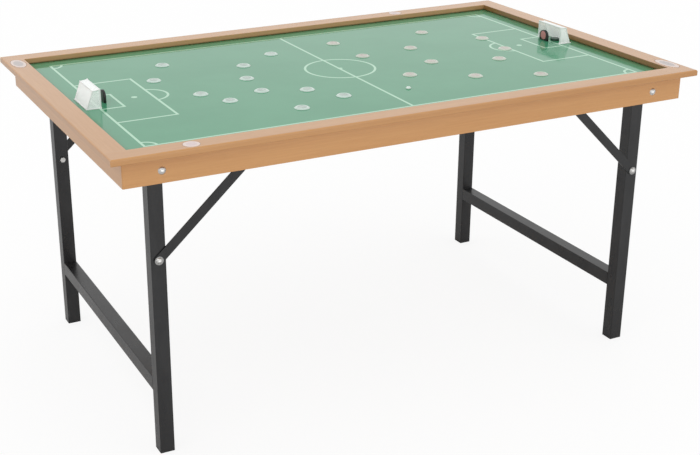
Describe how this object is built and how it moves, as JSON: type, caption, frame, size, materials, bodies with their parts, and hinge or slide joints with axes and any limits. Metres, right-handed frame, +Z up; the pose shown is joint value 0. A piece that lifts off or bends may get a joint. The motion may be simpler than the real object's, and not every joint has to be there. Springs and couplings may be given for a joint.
{
  "type": "button football table",
  "caption": "Button football table: a sunk green board in a flat wooden rim, a low apron, folding square-tube legs with flat braces, small goals and loose buttons.",
  "frame": {"origin": "on the floor, under the middle of the table", "axes": "+X along the table's length towards the right goal, +Y from front to back, +Z up"},
  "size_m": [1.53, 0.93, 0.787],
  "materials": {
    "green_board": "smooth green paint with printed pale lines",
    "rim_wood": "satin varnish",
    "apron_wood": "satin varnish",
    "pale_wood": "planed, bare",
    "black_steel": "semi-gloss black paint",
    "bright_steel": "bright plating",
    "foot_plastic": "matt",
    "goal_white": "gloss",
    "net_cord": "fine white cord",
    "keeper_black": "gloss, with a plain round red face",
    "disc_dark": "gloss",
    "play_disc_white": "matt",
    "home_plastic": "polished white with a greyish middle",
    "away_plastic": "polished cream with a pinkish middle"
  },
  "bodies": {
    "table": {"playing_board": "green_board", "rail_front": "rim_wood", "rail_back": "rim_wood", "rail_left": "rim_wood", "rail_right": "rim_wood", "apron_front": "apron_wood", "apron_back": "apron_wood", "apron_left": "apron_wood", "apron_right": "apron_wood", "bearer_strips": "pale_wood", "centre_batten": "pale_wood", "pivot_blocks": "pale_wood", "pivot_bolts": "bright_steel", "pivot_nuts": "bright_steel", "catch_plates": "black_steel", "wood_screws": "bright_steel"},
    "left_frame": {"leg_left_front": "black_steel", "leg_left_back": "black_steel", "stretcher_left": "black_steel", "feet_left": "foot_plastic", "brace_bolts_left": "bright_steel"},
    "right_frame": {"leg_right_front": "black_steel", "leg_right_back": "black_steel", "stretcher_right": "black_steel", "feet_right": "foot_plastic", "brace_bolts_right": "bright_steel"},
    "left_front_brace": {"brace_left_front": "black_steel"},
    "left_back_brace": {"brace_left_back": "black_steel"},
    "right_front_brace": {"brace_right_front": "black_steel"},
    "right_back_brace": {"brace_right_back": "black_steel"},
    "left_goal": {"goal_left": "goal_white", "goal_net_left": "net_cord"},
    "right_goal": {"goal_right": "goal_white", "goal_net_right": "net_cord"},
    "left_keeper": {"keeper_left": "keeper_black"},
    "right_keeper": {"keeper_right": "keeper_black"},
    "loose_disc": {"flick_disc": "disc_dark"},
    "loose_play_disc": {"play_disc": "play_disc_white"},
    "home_button_1_body": {"home_button_1": "home_plastic"},
    "home_button_2_body": {"home_button_2": "home_plastic"},
    "home_button_3_body": {"home_button_3": "home_plastic"},
    "home_button_4_body": {"home_button_4": "home_plastic"},
    "home_button_5_body": {"home_button_5": "home_plastic"},
    "home_button_6_body": {"home_button_6": "home_plastic"},
    "home_button_7_body": {"home_button_7": "home_plastic"},
    "home_button_8_body": {"home_button_8": "home_plastic"},
    "home_button_9_body": {"home_button_9": "home_plastic"},
    "home_button_10_body": {"home_button_10": "home_plastic"},
    "home_button_11_body": {"home_button_11": "home_plastic"},
    "away_button_1_body": {"away_button_1": "away_plastic"},
    "away_button_2_body": {"away_button_2": "away_plastic"},
    "away_button_3_body": {"away_button_3": "away_plastic"},
    "away_button_4_body": {"away_button_4": "away_plastic"},
    "away_button_5_body": {"away_button_5": "away_plastic"},
    "away_button_6_body": {"away_button_6": "away_plastic"},
    "away_button_7_body": {"away_button_7": "away_plastic"},
    "away_button_8_body": {"away_button_8": "away_plastic"},
    "away_button_9_body": {"away_button_9": "away_plastic"},
    "away_button_10_body": {"away_button_10": "away_plastic"},
    "away_button_11_body": {"away_button_11": "away_plastic"}
  },
  "joints": [
    {"name": "left_fold", "type": "hinge", "parent": "table", "child": "left_frame", "pos_m": [-0.6475, 0, 0.708], "axis": [0, -1, 0], "range_deg": [0, 90]},
    {"name": "right_fold", "type": "hinge", "parent": "table", "child": "right_frame", "pos_m": [0.6475, 0, 0.708], "axis": [0, 1, 0], "range_deg": [0, 86]},
    {"name": "left_front_brace_turn", "type": "hinge", "parent": "left_frame", "child": "left_front_brace", "pos_m": [-0.6475, 0, 0.485], "axis": [0, 1, 0], "range_deg": [0, 132.45]},
    {"name": "left_back_brace_turn", "type": "hinge", "parent": "left_frame", "child": "left_back_brace", "pos_m": [-0.6475, 0, 0.485], "axis": [0, 1, 0], "range_deg": [0, 132.45]},
    {"name": "right_front_brace_turn", "type": "hinge", "parent": "right_frame", "child": "right_front_brace", "pos_m": [0.6475, 0, 0.485], "axis": [0, -1, 0], "range_deg": [0, 134.6]},
    {"name": "right_back_brace_turn", "type": "hinge", "parent": "right_frame", "child": "right_back_brace", "pos_m": [0.6475, 0, 0.485], "axis": [0, -1, 0], "range_deg": [0, 134.6]},
    {"name": "left_goal_lift", "type": "slide", "parent": "table", "child": "left_goal", "axis": [0, 0, 1], "range_m": [0, 0.15]},
    {"name": "right_goal_lift", "type": "slide", "parent": "table", "child": "right_goal", "axis": [0, 0, 1], "range_m": [0, 0.15]},
    {"name": "left_keeper_slide", "type": "slide", "parent": "table", "child": "left_keeper", "axis": [0, 1, 0], "range_m": [-0.028, 0.028]},
    {"name": "right_keeper_slide", "type": "slide", "parent": "table", "child": "right_keeper", "axis": [0, 1, 0], "range_m": [-0.028, 0.028]},
    {"name": "disc_slide", "type": "slide", "parent": "table", "child": "loose_disc", "axis": [0, 1, 0], "range_m": [-0.027, 0.035]},
    {"name": "play_disc_slide", "type": "slide", "parent": "table", "child": "loose_play_disc", "axis": [1, 0, 0], "range_m": [-0.05, 0.12]},
    {"name": "home_button_1_slide", "type": "slide", "parent": "table", "child": "home_button_1_body", "axis": [1, 0, 0], "range_m": [-0.05, 0.05]},
    {"name": "home_button_2_slide", "type": "slide", "parent": "table", "child": "home_button_2_body", "axis": [1, 0, 0], "range_m": [-0.05, 0.05]},
    {"name": "home_button_3_slide", "type": "slide", "parent": "table", "child": "home_button_3_body", "axis": [1, 0, 0], "range_m": [-0.05, 0.05]},
    {"name": "home_button_4_slide", "type": "slide", "parent": "table", "child": "home_button_4_body", "axis": [1, 0, 0], "range_m": [-0.05, 0.05]},
    {"name": "home_button_5_slide", "type": "slide", "parent": "table", "child": "home_button_5_body", "axis": [1, 0, 0], "range_m": [-0.05, 0.05]},
    {"name": "home_button_6_slide", "type": "slide", "parent": "table", "child": "home_button_6_body", "axis": [1, 0, 0], "range_m": [-0.05, 0.05]},
    {"name": "home_button_7_slide", "type": "slide", "parent": "table", "child": "home_button_7_body", "axis": [1, 0, 0], "range_m": [-0.05, 0.05]},
    {"name": "home_button_8_slide", "type": "slide", "parent": "table", "child": "home_button_8_body", "axis": [1, 0, 0], "range_m": [-0.05, 0.05]},
    {"name": "home_button_9_slide", "type": "slide", "parent": "table", "child": "home_button_9_body", "axis": [1, 0, 0], "range_m": [-0.05, 0.05]},
    {"name": "home_button_10_slide", "type": "slide", "parent": "table", "child": "home_button_10_body", "axis": [1, 0, 0], "range_m": [-0.05, 0.05]},
    {"name": "home_button_11_slide", "type": "slide", "parent": "table", "child": "home_button_11_body", "axis": [1, 0, 0], "range_m": [-0.05, 0.05]},
    {"name": "away_button_1_slide", "type": "slide", "parent": "table", "child": "away_button_1_body", "axis": [1, 0, 0], "range_m": [-0.05, 0.05]},
    {"name": "away_button_2_slide", "type": "slide", "parent": "table", "child": "away_button_2_body", "axis": [1, 0, 0], "range_m": [-0.05, 0.05]},
    {"name": "away_button_3_slide", "type": "slide", "parent": "table", "child": "away_button_3_body", "axis": [1, 0, 0], "range_m": [-0.05, 0.05]},
    {"name": "away_button_4_slide", "type": "slide", "parent": "table", "child": "away_button_4_body", "axis": [1, 0, 0], "range_m": [-0.05, 0.05]},
    {"name": "away_button_5_slide", "type": "slide", "parent": "table", "child": "away_button_5_body", "axis": [1, 0, 0], "range_m": [-0.05, 0.05]},
    {"name": "away_button_6_slide", "type": "slide", "parent": "table", "child": "away_button_6_body", "axis": [1, 0, 0], "range_m": [-0.05, 0.05]},
    {"name": "away_button_7_slide", "type": "slide", "parent": "table", "child": "away_button_7_body", "axis": [1, 0, 0], "range_m": [-0.05, 0.05]},
    {"name": "away_button_8_slide", "type": "slide", "parent": "table", "child": "away_button_8_body", "axis": [1, 0, 0], "range_m": [-0.05, 0.05]},
    {"name": "away_button_9_slide", "type": "slide", "parent": "table", "child": "away_button_9_body", "axis": [1, 0, 0], "range_m": [-0.05, 0.05]},
    {"name": "away_button_10_slide", "type": "slide", "parent": "table", "child": "away_button_10_body", "axis": [1, 0, 0], "range_m": [-0.05, 0.05]},
    {"name": "away_button_11_slide", "type": "slide", "parent": "table", "child": "away_button_11_body", "axis": [1, 0, 0], "range_m": [-0.05, 0.05]}
  ],
  "couplings": [
    {"joint": "left_front_brace_turn", "follows": "left_fold", "ratio": 1.4717},
    {"joint": "left_back_brace_turn", "follows": "left_fold", "ratio": 1.4717},
    {"joint": "right_front_brace_turn", "follows": "right_fold", "ratio": 1.5651},
    {"joint": "right_back_brace_turn", "follows": "right_fold", "ratio": 1.5651}
  ]
}
